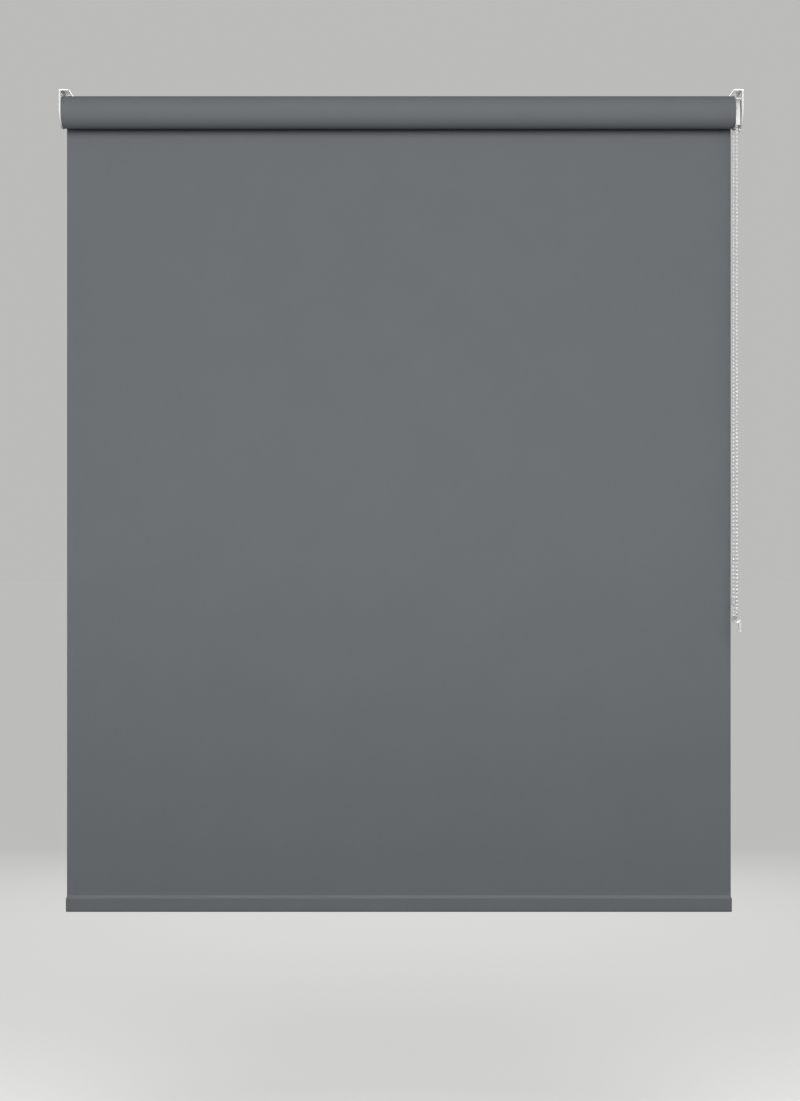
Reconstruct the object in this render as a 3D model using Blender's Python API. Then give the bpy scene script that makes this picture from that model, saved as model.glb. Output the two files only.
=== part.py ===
"""Chain-operated roller blind for a window recess, at its real size in metres.

Frame: X runs to the right as seen from the room, Y from the room towards the window, Z up.
The origin is at the middle of the fabric's width, over the tube's axis, on the plane of the
two brackets' top faces. The blind is fully lowered.

Right end: a steel bracket holds a fixed spindle. A bead chain turns the sprocket on the
spindle, the sprocket's sleeve pushes the tangs of two wrap springs, and the driver's key,
which sits between the same tangs, turns the tube. Left end: a plug in the tube holds a
sprung pin that runs in the bracket's bush.
"""

import math

import bmesh
import bpy
from mathutils import Vector

# Overall
FABRIC_WIDTH = 1.060
FABRIC_THICKNESS = 0.0005
AXIS_Z = -0.031
HEM_BOTTOM = AXIS_Z - 1.2706
GAP = 0.0003
RUNNING_FIT = 0.0004
OVERCUT = 0.0020

# Tube and wound fabric
TUBE_RADIUS = 0.0235
TUBE_BORE = 0.0222
ROLL_RADIUS = 0.0254
ROLL_BORE = 0.0244
TAPE_RADIUS = 0.0238
TAPE_THICKNESS = 0.0003
TAPE_WIDTH = 0.012
TAPE_LENGTH = 1.056
ROUND_SEGMENTS = 40

# Hem and bottom bar
HEM_HEIGHT = 0.0288
HEM_DEPTH = 0.0070
HEM_CORNER = 0.0032
HEM_SEAM = 0.0011
HEM_SHOULDER = 0.0190
BAR_HEIGHT = 0.0215
BAR_DEPTH = 0.0054
BAR_CORNER = 0.0024
BAR_WALL = 0.0009
BAR_LENGTH = 1.0590
CAP_FLANGE = 0.0010
CAP_TONGUE = 0.0120

# Bead chain
BEAD_RADIUS = 0.00225
BEAD_PITCH = 0.006
STRING_RADIUS = 0.0006
POCKETS = 16
CHAIN_X = 0.5327
STRAND_PITCHES = 131
GUARDED_PITCHES = 4
PITCH_RADIUS = BEAD_PITCH / (2 * math.sin(math.pi / POCKETS))
LOOP_CENTRE_Z = AXIS_Z - STRAND_PITCHES * BEAD_PITCH
GUARD_EXIT_Z = AXIS_Z - GUARDED_PITCHES * BEAD_PITCH
JOINER_RADIUS = 0.0036
JOINER_BORE = 0.0026
JOINER_LENGTH = 0.012
JOINER_Z = AXIS_Z - 0.774
JOINER_GAP_ANGLE = 4

# Sprocket
GROOVE_HALF = 0.00275
SPROCKET_FLANGE = 0.00075
SPROCKET_RADIUS = 0.0141
FLANGE_RADIUS = 0.0186
POCKET_RADIUS = 0.0027
SPROCKET_BORE = 0.0093
SLEEVE_INNER = 0.0094
SLEEVE_OUTER = 0.0108
SLEEVE_END_X = 0.5000
SLEEVE_OPENING = 75
STATIONS_PER_POCKET = 4

# Control spindle
SPINDLE_END_X = 0.4890
CLIP_GROOVE_X = 0.4906
CLIP_GROOVE_WIDTH = 0.0016
CLIP_GROOVE_RADIUS = 0.0052
MANDREL_RADIUS = 0.0064
SHOULDER_X = 0.5280
SHOULDER_RADIUS = 0.0090
SPINDLE_FLANGE_X = 0.5378
SPINDLE_FLANGE = 0.0008
SPINDLE_FLANGE_RADIUS = 0.0130
LUG_SIDE = 0.0120
LUG_CORNER = 0.0008
CLIP_OUTER = 0.0100
CLIP_THICKNESS = 0.0010

# Wrap springs
SPRING_RADIUS = 0.0075
SPRING_WIRE = 0.00045
SPRING_TURNS = 5
SPRING_PITCH = 0.0015
SPRING_STARTS = (0.5030, 0.5150)
TANG_RADIUS = 0.0102
TANG_ANGLE = 22
TANG_BEND = 6
SPRING_STEPS = 12

# Driver, pressed in the tube's right end
DRIVER_START_X = 0.4926
DRIVER_END_X = 0.5288
DRIVER_RADIUS = 0.0217
DRIVER_BORE = 0.0200
DRIVER_WEB = 0.0024
DRIVER_WEB_BORE = 0.0069
DRIVER_SLEEVE_OUTER = 0.0129
DRIVER_SLEEVE_INNER = 0.0113
DRIVER_SLEEVE_SETBACK = 0.0008
KEY_INNER = 0.0089
KEY_HALF_ANGLE = 11
KEY_SETBACK = 0.0010

# Chain guard
GUARD_WALL_X = 0.5365
GUARD_WALL = 0.0010
GUARD_RIM_X = 0.5304
GUARD_INNER = 0.0193
GUARD_OUTER = 0.0205
GUARD_BORE = 0.0094
STRIPPER_TOP = 0.0202
STRIPPER_HALF = 0.0115
STRIPPER_X = 0.5306

# Brackets
PLATE_THICKNESS = 0.0015
PLATE_RADIUS = 0.0250
TOP_FLANGE = 0.0155
FLANGE_CORNER = 0.0020
SCREW_HOLE = 0.00225
WALL_SCREW_Z = -0.0115
WALL_SCREW_SPREAD = 0.0160
TOP_SCREW_SPREAD = 0.0140
TOP_SCREW_SHIFT = 0.0010
COVER_RADIUS = 0.0263
COVER_CAVITY = 0.0253
COVER_SKIN = 0.0011
COVER_TOP = -0.0018
COVER_SETBACK = 0.0002
LEFT_COVER_X = -0.5315
RIGHT_COVER_X = 0.5389
LUG_HOLE = 0.0126
COVER_LUG_HOLE = 0.0098

# Left end: bush, plug and sprung pin
BUSH_BORE = 0.0043
BUSH_RADIUS = 0.0080
BUSH_FLANGE_RADIUS = 0.0105
BUSH_FLANGE = 0.0009
BUSH_STAND_OFF = 0.0001
BUSH_SETBACK = 0.0002
PLUG_END_X = -0.4960
PLUG_FLANGE_RADIUS = 0.0232
PLUG_FLANGE = 0.0008
PLUG_FLOOR = 0.0007
PLUG_WALL = 0.0018
PIN_SLEEVE_SETBACK = 0.0010
PIN_SLEEVE_OUTER = 0.0076
PIN_SLEEVE_BORE = 0.0056
PIN_RADIUS = 0.0040
PIN_BARREL = 0.0052
PIN_TIP_X = -0.5339
PIN_CHAMFER = 0.0006
PIN_BARREL_END_X = -0.5150
PIN_SPRING_RADIUS = 0.0041
PIN_SPRING_WIRE = 0.0004
PIN_SPRING_TURNS = 6
SPRING_CAP_X = -0.5005
SPRING_CAP_FLANGE = 0.0012

# Lock tab on the right bracket
LOCK_HALF_WIDTH = 0.0050
LOCK_TOP = 0.0134
LOCK_TAB_TOP = 0.0270
LOCK_BOTTOM = 0.0295
LOCK_TAB_X = 0.5410

# Safety clip that holds the chain loop to the side wall
CLIP_RING_OUTER = 0.0071
CLIP_RING_INNER = 0.0056
CLIP_HALF_WIDTH = 0.0040
CLIP_TAIL = 0.0210
CLIP_TAIL_THICKNESS = 0.0038
CLIP_NECK = 0.0012
CLIP_SCREW_HOLE = 0.0021
CLIP_SCREW_DROP = 0.0150


# Worked out from the sizes above
HALF_WIDTH = FABRIC_WIDTH / 2
LEFT_PLATE_X = LEFT_COVER_X - COVER_SKIN - GAP
LEFT_OUTER_X = LEFT_PLATE_X - PLATE_THICKNESS
RIGHT_PLATE_X = RIGHT_COVER_X + COVER_SKIN + GAP
RIGHT_OUTER_X = RIGHT_PLATE_X + PLATE_THICKNESS
DROP_Y = ROLL_RADIUS + GAP + FABRIC_THICKNESS / 2
BAR_CENTRE_Z = HEM_BOTTOM + FABRIC_THICKNESS + GAP + BAR_HEIGHT / 2
CAP_HEIGHT = BAR_HEIGHT + 2 * (FABRIC_THICKNESS + GAP)


# ---------------------------------------------------------------- outlines

def arc(centre_u, centre_v, radius, start, end, steps):
    """Points of an arc, both ends included, angles in degrees."""
    points = []
    for i in range(steps + 1):
        angle = math.radians(start + (end - start) * i / steps)
        points.append((centre_u + radius * math.cos(angle), centre_v + radius * math.sin(angle)))
    return points


def circle(centre_u, centre_v, radius, steps):
    return arc(centre_u, centre_v, radius, 0, 360, steps)[:-1]


def rounded_rectangle(centre_u, centre_v, width, height, corner, steps=3):
    points = []
    for quarter, (side_u, side_v) in enumerate([(1, 1), (-1, 1), (-1, -1), (1, -1)]):
        u = centre_u + side_u * (width / 2 - corner)
        v = centre_v + side_v * (height / 2 - corner)
        points += arc(u, v, corner, 90 * quarter, 90 * quarter + 90, steps)
    return points


def bracket_outline(radius, top):
    """Straight sides from the top, and a half round under the tube's axis."""
    return [(radius, top)] + arc(0, AXIS_Z, radius, 360, 180, 20) + [(-radius, top)]


def arc_band(inner, outer, start, end, steps):
    """Part of a ring around the tube's axis."""
    outside = arc(0, AXIS_Z, outer, start, end, steps)
    inside = arc(0, AXIS_Z, inner, end, start, steps)
    return outside + inside


# ---------------------------------------------------------------- solids

def material(name, colour, roughness, metallic=0.0, alpha=1.0):
    existing = bpy.data.materials.get(name)
    if existing:
        return existing
    made = bpy.data.materials.new(name)
    made.use_nodes = True
    shader = made.node_tree.nodes["Principled BSDF"]
    shader.inputs["Base Color"].default_value = (*colour, 1.0)
    shader.inputs["Roughness"].default_value = roughness
    shader.inputs["Metallic"].default_value = metallic
    shader.inputs["Alpha"].default_value = alpha
    return made


def fabric():
    return material("slate_fabric", (0.155, 0.166, 0.173), 0.85)


def white_plastic():
    return material("white_plastic", (0.82, 0.82, 0.80), 0.40)


def clear_plastic():
    return material("clear_plastic", (0.86, 0.88, 0.88), 0.15, 0.0, 0.5)


def grey_plastic():
    return material("grey_plastic", (0.30, 0.31, 0.32), 0.45)


def slate_plastic():
    return material("slate_plastic", (0.105, 0.112, 0.118), 0.50)


def aluminium():
    return material("aluminium", (0.72, 0.73, 0.74), 0.35, 1.0)


def bracket_steel():
    return material("bracket_steel", (0.70, 0.70, 0.69), 0.45, 0.6)


def spring_steel():
    return material("spring_steel", (0.45, 0.45, 0.46), 0.30, 1.0)


def adhesive_tape():
    return material("adhesive_tape", (0.85, 0.84, 0.78), 0.60)


def finish_object(name, bm, surface, pivot, smooth):
    """Make an object from the mesh, with its origin at the pivot."""
    bmesh.ops.remove_doubles(bm, verts=bm.verts, dist=1e-7)
    bmesh.ops.recalc_face_normals(bm, faces=bm.faces)
    bmesh.ops.translate(bm, verts=bm.verts, vec=-Vector(pivot))
    mesh = bpy.data.meshes.new(name)
    bm.to_mesh(mesh)
    bm.free()
    if smooth:
        mesh.shade_smooth()
        mesh.set_sharp_from_angle(angle=math.radians(35))
    mesh.materials.append(surface)
    made = bpy.data.objects.new(name, mesh)
    made.location = pivot
    bpy.context.scene.collection.objects.link(made)
    return made


def skin(stations, wrap):
    """Closed mesh through equal loops of points, capped at its ends or wrapped round."""
    bm = bmesh.new()
    loops = [[bm.verts.new(point) for point in station] for station in stations]
    count = len(loops[0])
    pairs = list(zip(loops, loops[1:]))
    if wrap:
        pairs.append((loops[-1], loops[0]))
    for first, second in pairs:
        for i in range(count):
            j = (i + 1) % count
            bm.faces.new((first[i], first[j], second[j], second[i]))
    if not wrap:
        bm.faces.new(loops[0][::-1])
        bm.faces.new(loops[-1])
    return bm


def on_axis(x, radius, angle):
    """A point at a distance from the tube's axis; angle 0 is towards the window, 90 is up."""
    turn = math.radians(angle)
    return Vector((x, radius * math.cos(turn), AXIS_Z + radius * math.sin(turn)))


PIVOT = (0, 0, AXIS_Z)


def turned(name, profile, surface, segments=32, pivot=PIVOT):
    """Turn a closed profile of (x, radius) around the tube's axis."""
    stations = []
    for i in range(segments):
        angle = 360 * i / segments
        stations.append([on_axis(x, radius, angle) for x, radius in profile])
    return finish_object(name, skin(stations, wrap=True), surface, pivot, smooth=True)


def prism(name, outline, holes, low, high, axis, surface, pivot=(0, 0, 0)):
    """Solid between two parallel planes. The outline is (y, z), (x, z) or (x, y)."""
    places = {
        "X": lambda u, v, w: (w, u, v),
        "Y": lambda u, v, w: (u, w, v),
        "Z": lambda u, v, w: (u, v, w),
    }
    place = places[axis]
    bm = bmesh.new()
    edges = []
    for loop in [outline, *holes]:
        verts = [bm.verts.new(place(u, v, low)) for u, v in loop]
        edges += [bm.edges.new((verts[i - 1], verts[i])) for i in range(len(verts))]
    bmesh.ops.triangle_fill(bm, edges=edges, use_beauty=True)
    extruded = bmesh.ops.extrude_face_region(bm, geom=bm.faces[:])
    moved = [item for item in extruded["geom"] if isinstance(item, bmesh.types.BMVert)]
    bmesh.ops.translate(bm, verts=moved, vec=place(0, 0, high - low))
    return finish_object(name, bm, surface, pivot, smooth=True)


def sweep(name, path, radii, sides, surface, pivot=PIVOT):
    """Round rod along a path, with its own radius at each point."""
    stations = []
    side = None
    for i, point in enumerate(path):
        before = path[max(i - 1, 0)]
        after = path[min(i + 1, len(path) - 1)]
        along = (after - before).normalized()
        if side is None:
            side = along.orthogonal()
        side = (side - along * side.dot(along)).normalized()
        up = along.cross(side)
        loop = []
        for k in range(sides):
            turn = 2 * math.pi * k / sides
            loop.append(point + radii[i] * (side * math.cos(turn) + up * math.sin(turn)))
        stations.append(loop)
    return finish_object(name, skin(stations, wrap=False), surface, pivot, smooth=True)


def combine(target, operation, tool):
    """Join a tool to the target, or cut it out; the tool itself is only a guide."""
    tool.hide_render = True
    tool.display_type = "WIRE"
    step = target.modifiers.new(tool.name, "BOOLEAN")
    step.operation = operation
    step.object = tool
    step.solver = "EXACT"


def cylinder_tool(name, radius, low, high, centre, axis, surface):
    """Guide for a round hole through a plate."""
    outline = circle(centre[0], centre[1], radius, 16)
    return prism(name, outline, [], low, high, axis, surface)


# ---------------------------------------------------------------- brackets

def bracket_plate(side, plate_x, outer_x, centre_hole):
    """Steel angle: a plate across the tube's end, with a flange that screws up to the lintel."""
    surface = bracket_steel()
    low, high = sorted((plate_x, outer_x))
    spread = WALL_SCREW_SPREAD
    wall_holes = [circle(y, WALL_SCREW_Z, SCREW_HOLE, 12) for y in (-spread, spread)]
    outline = bracket_outline(PLATE_RADIUS, 0)
    plate = prism(f"{side}_bracket_plate", outline, [centre_hole, *wall_holes], low, high, "X", surface)
    sign = 1 if outer_x > 0 else -1
    inner_x = outer_x - sign * TOP_FLANGE
    corner = FLANGE_CORNER
    half = PLATE_RADIUS
    flange_outline = [(outer_x, -half)]
    flange_outline += [(inner_x + sign * corner, -half), (inner_x, -half + corner)]
    flange_outline += [(inner_x, half - corner), (inner_x + sign * corner, half)]
    flange_outline += [(outer_x, half)]
    screw_x = (inner_x + outer_x) / 2 - sign * TOP_SCREW_SHIFT
    spread = TOP_SCREW_SPREAD
    screw_holes = [circle(screw_x, y, SCREW_HOLE, 12) for y in (-spread, spread)]
    guide = f"{side}_flange_guide"
    flange = prism(guide, flange_outline, screw_holes, -PLATE_THICKNESS, 0, "Z", surface)
    combine(plate, "UNION", flange)
    return plate


def bracket_cover(side, inner_x, outer_x, hole_radius):
    """Moulded cap over the plate's tube side and edges, open at the top and at the back."""
    surface = white_plastic()
    sign = 1 if outer_x > 0 else -1
    rim_x = outer_x - sign * COVER_SETBACK
    low, high = sorted((inner_x, rim_x))
    outline = bracket_outline(COVER_RADIUS, COVER_TOP)
    hole = circle(0, AXIS_Z, hole_radius, 24)
    cover = prism(f"{side}_bracket_cover", outline, [hole], low, high, "X", surface)
    floor_x = inner_x + sign * COVER_SKIN
    low, high = sorted((floor_x, outer_x + sign * OVERCUT))
    pocket = bracket_outline(COVER_CAVITY, OVERCUT)
    cavity = prism(f"{side}_cavity_guide", pocket, [], low, high, "X", surface)
    combine(cover, "DIFFERENCE", cavity)
    return cover


def left_bracket():
    bush_hole = circle(0, AXIS_Z, BUSH_RADIUS + RUNNING_FIT, 24)
    bracket_plate("left", LEFT_PLATE_X, LEFT_OUTER_X, bush_hole)
    bracket_cover("left", LEFT_COVER_X, LEFT_OUTER_X, BUSH_FLANGE_RADIUS + RUNNING_FIT)
    flange_x = LEFT_COVER_X - BUSH_STAND_OFF
    body_x = flange_x - BUSH_FLANGE
    end_x = LEFT_OUTER_X + BUSH_SETBACK
    profile = [
        (flange_x, BUSH_BORE), (flange_x, BUSH_FLANGE_RADIUS), (body_x, BUSH_FLANGE_RADIUS),
        (body_x, BUSH_RADIUS), (end_x, BUSH_RADIUS), (end_x, BUSH_BORE),
    ]
    turned("left_pin_bush", profile, grey_plastic())


def right_bracket():
    half = LUG_HOLE / 2
    square = [(-half, AXIS_Z - half), (half, AXIS_Z - half), (half, AXIS_Z + half), (-half, AXIS_Z + half)]
    bracket_plate("right", RIGHT_PLATE_X, RIGHT_OUTER_X, square)
    bracket_cover("right", RIGHT_COVER_X, RIGHT_OUTER_X, COVER_LUG_HOLE)
    back_x = SPINDLE_FLANGE_X + SPINDLE_FLANGE
    outline = [
        (SPINDLE_FLANGE_X, AXIS_Z - LOCK_TOP), (SPINDLE_FLANGE_X, AXIS_Z - LOCK_BOTTOM),
        (LOCK_TAB_X, AXIS_Z - LOCK_BOTTOM), (LOCK_TAB_X, AXIS_Z - LOCK_TAB_TOP),
        (back_x, AXIS_Z - LOCK_TAB_TOP), (back_x, AXIS_Z - LOCK_TOP),
    ]
    middle = (SPINDLE_FLANGE_X, 0, AXIS_Z - LOCK_BOTTOM)
    width = LOCK_HALF_WIDTH
    prism("bracket_lock", outline, [], -width, width, "Y", white_plastic(), pivot=middle)


# ---------------------------------------------------------------- tube and fabric

def tube_and_fabric():
    def ring(name, inner, outer, half, surface):
        profile = [(-half, inner), (-half, outer), (half, outer), (half, inner)]
        turned(name, profile, surface, ROUND_SEGMENTS)

    ring("roller_tube", TUBE_BORE, TUBE_RADIUS, HALF_WIDTH, aluminium())
    ring("fabric_roll", ROLL_BORE, ROLL_RADIUS, HALF_WIDTH, fabric())
    half_angle = math.degrees(TAPE_WIDTH / 2 / TAPE_RADIUS)
    tape = arc_band(TAPE_RADIUS, TAPE_RADIUS + TAPE_THICKNESS, 90 - half_angle, 90 + half_angle, 6)
    half = TAPE_LENGTH / 2
    prism("fabric_tape", tape, [], -half, half, "X", adhesive_tape(), pivot=PIVOT)
    low, high = DROP_Y - FABRIC_THICKNESS / 2, DROP_Y + FABRIC_THICKNESS / 2
    bottom = HEM_BOTTOM + HEM_HEIGHT + GAP
    sheet = [(low, AXIS_Z), (low, bottom), (high, bottom), (high, AXIS_Z)]
    prism("fabric_drop", sheet, [], -HALF_WIDTH, HALF_WIDTH, "X", fabric())


def hem_outline():
    """Half round bottom corners, straight sides, and shoulders that close to the seam."""
    corner_z = HEM_BOTTOM + HEM_CORNER
    reach = HEM_DEPTH / 2 - HEM_CORNER
    points = arc(DROP_Y - reach, corner_z, HEM_CORNER, 180, 270, 3)
    points += arc(DROP_Y + reach, corner_z, HEM_CORNER, 270, 360, 3)
    steps = 6
    shoulder = []
    for i in range(steps + 1):
        share = i / steps
        swell = (1 + math.cos(math.pi * share)) / 2
        half = (HEM_SEAM + (HEM_DEPTH - HEM_SEAM) * swell) / 2
        shoulder.append((half, HEM_BOTTOM + HEM_SHOULDER + (HEM_HEIGHT - HEM_SHOULDER) * share))
    points += [(DROP_Y + half, z) for half, z in shoulder]
    points += [(DROP_Y - half, z) for half, z in reversed(shoulder)]
    return points


def hem_and_bar():
    place = (0, DROP_Y, BAR_CENTRE_Z)

    def section(depth, height, corner):
        return rounded_rectangle(DROP_Y, BAR_CENTRE_Z, depth, height, corner)

    room = section(BAR_DEPTH + 2 * GAP, BAR_HEIGHT + 2 * GAP, BAR_CORNER + GAP)
    prism("hem_pocket", hem_outline(), [room], -HALF_WIDTH, HALF_WIDTH, "X", fabric(), pivot=place)
    bar = section(BAR_DEPTH, BAR_HEIGHT, BAR_CORNER)
    hollow_depth = BAR_DEPTH - 2 * BAR_WALL
    hollow_height = BAR_HEIGHT - 2 * BAR_WALL
    hollow = section(hollow_depth, hollow_height, BAR_CORNER - BAR_WALL)
    half = BAR_LENGTH / 2
    prism("bottom_bar", bar, [hollow], -half, half, "X", aluminium(), pivot=place)
    tongue = section(hollow_depth - 2 * GAP, hollow_height - 2 * GAP, BAR_CORNER - BAR_WALL - GAP)
    outside = section(HEM_DEPTH, CAP_HEIGHT, HEM_CORNER)
    surface = slate_plastic()
    for side, sign in (("left", -1), ("right", 1)):
        flange_x = sign * (HALF_WIDTH + GAP)
        low, high = sorted((flange_x, flange_x + sign * CAP_FLANGE))
        cap = prism(f"bar_end_cap_{side}", outside, [], low, high, "X", surface, pivot=place)
        tip_x = flange_x - sign * CAP_TONGUE
        low, high = sorted((tip_x, flange_x + sign * CAP_FLANGE / 2))
        guide = prism(f"cap_tongue_guide_{side}", tongue, [], low, high, "X", surface)
        combine(cap, "UNION", guide)


# ---------------------------------------------------------------- left end

def idle_end():
    face_x = -HALF_WIDTH - GAP - PLUG_FLANGE
    step_x = -HALF_WIDTH - GAP
    floor_x = -HALF_WIDTH + PLUG_FLOOR
    sleeve_end_x = PLUG_END_X - PIN_SLEEVE_SETBACK
    shell_inner = DRIVER_RADIUS - PLUG_WALL
    profile = [
        (face_x, PIN_RADIUS + RUNNING_FIT), (face_x, PLUG_FLANGE_RADIUS), (step_x, PLUG_FLANGE_RADIUS),
        (step_x, DRIVER_RADIUS), (PLUG_END_X, DRIVER_RADIUS), (PLUG_END_X, shell_inner),
        (floor_x, shell_inner), (floor_x, PIN_SLEEVE_OUTER), (sleeve_end_x, PIN_SLEEVE_OUTER),
        (sleeve_end_x, PIN_SLEEVE_BORE), (floor_x, PIN_SLEEVE_BORE), (floor_x, PIN_RADIUS + RUNNING_FIT),
    ]
    turned("idle_plug", profile, grey_plastic())
    barrel_x = floor_x + GAP
    profile = [
        (PIN_TIP_X, 0), (PIN_TIP_X, PIN_RADIUS - PIN_CHAMFER), (PIN_TIP_X + PIN_CHAMFER, PIN_RADIUS),
        (barrel_x, PIN_RADIUS), (barrel_x, PIN_BARREL), (PIN_BARREL_END_X, PIN_BARREL),
        (PIN_BARREL_END_X, 0),
    ]
    turned("idle_pin", profile, white_plastic(), 24)
    flange_x = sleeve_end_x + GAP
    end_x = flange_x + SPRING_CAP_FLANGE
    profile = [
        (SPRING_CAP_X, 0), (SPRING_CAP_X, PIN_BARREL), (flange_x, PIN_BARREL),
        (flange_x, PIN_SLEEVE_OUTER), (end_x, PIN_SLEEVE_OUTER), (end_x, 0),
    ]
    turned("idle_spring_cap", profile, grey_plastic(), 24)
    start_x = PIN_BARREL_END_X + GAP + PIN_SPRING_WIRE
    end_x = SPRING_CAP_X - GAP - PIN_SPRING_WIRE
    path = helix(start_x, end_x, PIN_SPRING_RADIUS, 0, 360 * PIN_SPRING_TURNS)
    sweep("idle_pin_spring", path, [PIN_SPRING_WIRE] * len(path), 5, spring_steel())


def helix(start_x, end_x, radius, start_angle, end_angle):
    steps = round(abs(end_angle - start_angle) / 360 * SPRING_STEPS)
    path = []
    for i in range(steps + 1):
        share = i / steps
        x = start_x + (end_x - start_x) * share
        path.append(on_axis(x, radius, start_angle + (end_angle - start_angle) * share))
    return path


# ---------------------------------------------------------------- right end

def control_spindle():
    groove_end = CLIP_GROOVE_X + CLIP_GROOVE_WIDTH
    flange_end = SPINDLE_FLANGE_X + SPINDLE_FLANGE
    profile = [
        (SPINDLE_END_X, 0), (SPINDLE_END_X, MANDREL_RADIUS), (CLIP_GROOVE_X, MANDREL_RADIUS),
        (CLIP_GROOVE_X, CLIP_GROOVE_RADIUS), (groove_end, CLIP_GROOVE_RADIUS),
        (groove_end, MANDREL_RADIUS), (SHOULDER_X, MANDREL_RADIUS), (SHOULDER_X, SHOULDER_RADIUS),
        (SPINDLE_FLANGE_X, SHOULDER_RADIUS), (SPINDLE_FLANGE_X, SPINDLE_FLANGE_RADIUS),
        (flange_end, SPINDLE_FLANGE_RADIUS), (flange_end, 0),
    ]
    spindle = turned("control_spindle", profile, grey_plastic())
    lug = rounded_rectangle(0, AXIS_Z, LUG_SIDE, LUG_SIDE, LUG_CORNER, 1)
    lug_start = flange_end - SPINDLE_FLANGE / 2
    guide = prism("lug_guide", lug, [], lug_start, RIGHT_OUTER_X - GAP, "X", grey_plastic())
    combine(spindle, "UNION", guide)
    ring = arc_band(CLIP_GROOVE_RADIUS + GAP, CLIP_OUTER, 120, 420, 20)
    low = CLIP_GROOVE_X + GAP
    prism("spindle_clip", ring, [], low, low + CLIP_THICKNESS, "X", spring_steel(), pivot=PIVOT)


def groove_radius(offset, angle):
    """Radius of the sprocket's groove, with one round pocket for each bead."""
    step = 360 / POCKETS
    from_pocket = math.radians((angle + step / 2) % step - step / 2)
    across = PITCH_RADIUS * math.sin(from_pocket)
    depth = POCKET_RADIUS ** 2 - offset ** 2 - across ** 2
    if depth <= 0:
        return SPROCKET_RADIUS
    return min(SPROCKET_RADIUS, PITCH_RADIUS * math.cos(from_pocket) - math.sqrt(depth))


def chain_sprocket():
    inner_x = CHAIN_X - GROOVE_HALF - SPROCKET_FLANGE
    outer_x = CHAIN_X + GROOVE_HALF + SPROCKET_FLANGE
    offsets = (-GROOVE_HALF, -POCKET_RADIUS / 2, 0, POCKET_RADIUS / 2, GROOVE_HALF)
    count = POCKETS * STATIONS_PER_POCKET
    stations = []
    for i in range(count):
        angle = 360 * i / count
        profile = [(inner_x, SPROCKET_BORE), (inner_x, FLANGE_RADIUS)]
        profile += [(CHAIN_X - GROOVE_HALF, FLANGE_RADIUS)]
        profile += [(CHAIN_X + offset, groove_radius(offset, angle)) for offset in offsets]
        profile += [(CHAIN_X + GROOVE_HALF, FLANGE_RADIUS)]
        profile += [(outer_x, FLANGE_RADIUS), (outer_x, SPROCKET_BORE)]
        stations.append([on_axis(x, radius, angle) for x, radius in profile])
    surface = white_plastic()
    wheel = finish_object("chain_sprocket", skin(stations, wrap=True), surface, PIVOT, smooth=True)
    half = SLEEVE_OPENING / 2
    sleeve = arc_band(SLEEVE_INNER, SLEEVE_OUTER, 90 + half, 450 - half, 20)
    join_x = inner_x + SPROCKET_FLANGE / 2
    guide = prism("sleeve_guide", sleeve, [], SLEEVE_END_X, join_x, "X", surface)
    combine(wheel, "UNION", guide)


def wrap_springs():
    """Two close-wound springs on the spindle, each with a tang at both ends."""
    for letter, start_x in zip("ab", SPRING_STARTS):
        end_x = start_x + SPRING_TURNS * SPRING_PITCH
        first = 90 - TANG_ANGLE + TANG_BEND
        last = 90 + TANG_ANGLE - TANG_BEND + 360 * SPRING_TURNS
        path = [on_axis(start_x, TANG_RADIUS, 90 - TANG_ANGLE)]
        path += helix(start_x, end_x, SPRING_RADIUS, first, last)
        path += [on_axis(end_x, TANG_RADIUS, 90 + TANG_ANGLE)]
        name = f"wrap_spring_{letter}"
        sweep(name, path, [SPRING_WIRE] * len(path), 5, spring_steel())


def tube_driver():
    web_x = DRIVER_START_X + DRIVER_WEB
    sleeve_end = DRIVER_END_X - DRIVER_SLEEVE_SETBACK
    profile = [
        (DRIVER_START_X, DRIVER_WEB_BORE), (DRIVER_START_X, DRIVER_RADIUS),
        (DRIVER_END_X, DRIVER_RADIUS), (DRIVER_END_X, DRIVER_BORE), (web_x, DRIVER_BORE),
        (web_x, DRIVER_SLEEVE_OUTER), (sleeve_end, DRIVER_SLEEVE_OUTER),
        (sleeve_end, DRIVER_SLEEVE_INNER), (web_x, DRIVER_SLEEVE_INNER), (web_x, DRIVER_WEB_BORE),
    ]
    driver = turned("tube_driver", profile, grey_plastic())
    inside_wall = (DRIVER_SLEEVE_INNER + DRIVER_SLEEVE_OUTER) / 2
    key = arc_band(KEY_INNER, inside_wall, 90 - KEY_HALF_ANGLE, 90 + KEY_HALF_ANGLE, 2)
    key_end = sleeve_end - KEY_SETBACK
    guide = prism("key_guide", key, [], SLEEVE_END_X, key_end, "X", grey_plastic())
    combine(driver, "UNION", guide)


def guard_outline(radius):
    """Round over the sprocket, with straight sides down to where the chain comes out."""
    return [(radius, GUARD_EXIT_Z)] + arc(0, AXIS_Z, radius, 0, 180, 16) + [(-radius, GUARD_EXIT_Z)]


def chain_guard():
    """Fixed shell over the sprocket: end wall, rim, and the block that strips the chain off."""
    surface = white_plastic()
    end_x = GUARD_WALL_X + GUARD_WALL
    bore = circle(0, AXIS_Z, GUARD_BORE, 24)
    outline = guard_outline(GUARD_OUTER)
    guard = prism("chain_guard", outline, [bore], GUARD_WALL_X, end_x, "X", surface)
    join_x = GUARD_WALL_X + GUARD_WALL / 2
    band = guard_outline(GUARD_OUTER) + guard_outline(GUARD_INNER)[::-1]
    rim = prism("guard_rim_guide", band, [], GUARD_RIM_X, join_x, "X", surface)
    combine(guard, "UNION", rim)
    top, bottom, half = AXIS_Z - STRIPPER_TOP, GUARD_EXIT_Z, STRIPPER_HALF
    block = [(-half, bottom), (half, bottom), (half, top), (-half, top)]
    stripper = prism("stripper_guide", block, [], STRIPPER_X, join_x, "X", surface)
    combine(guard, "UNION", stripper)


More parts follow.
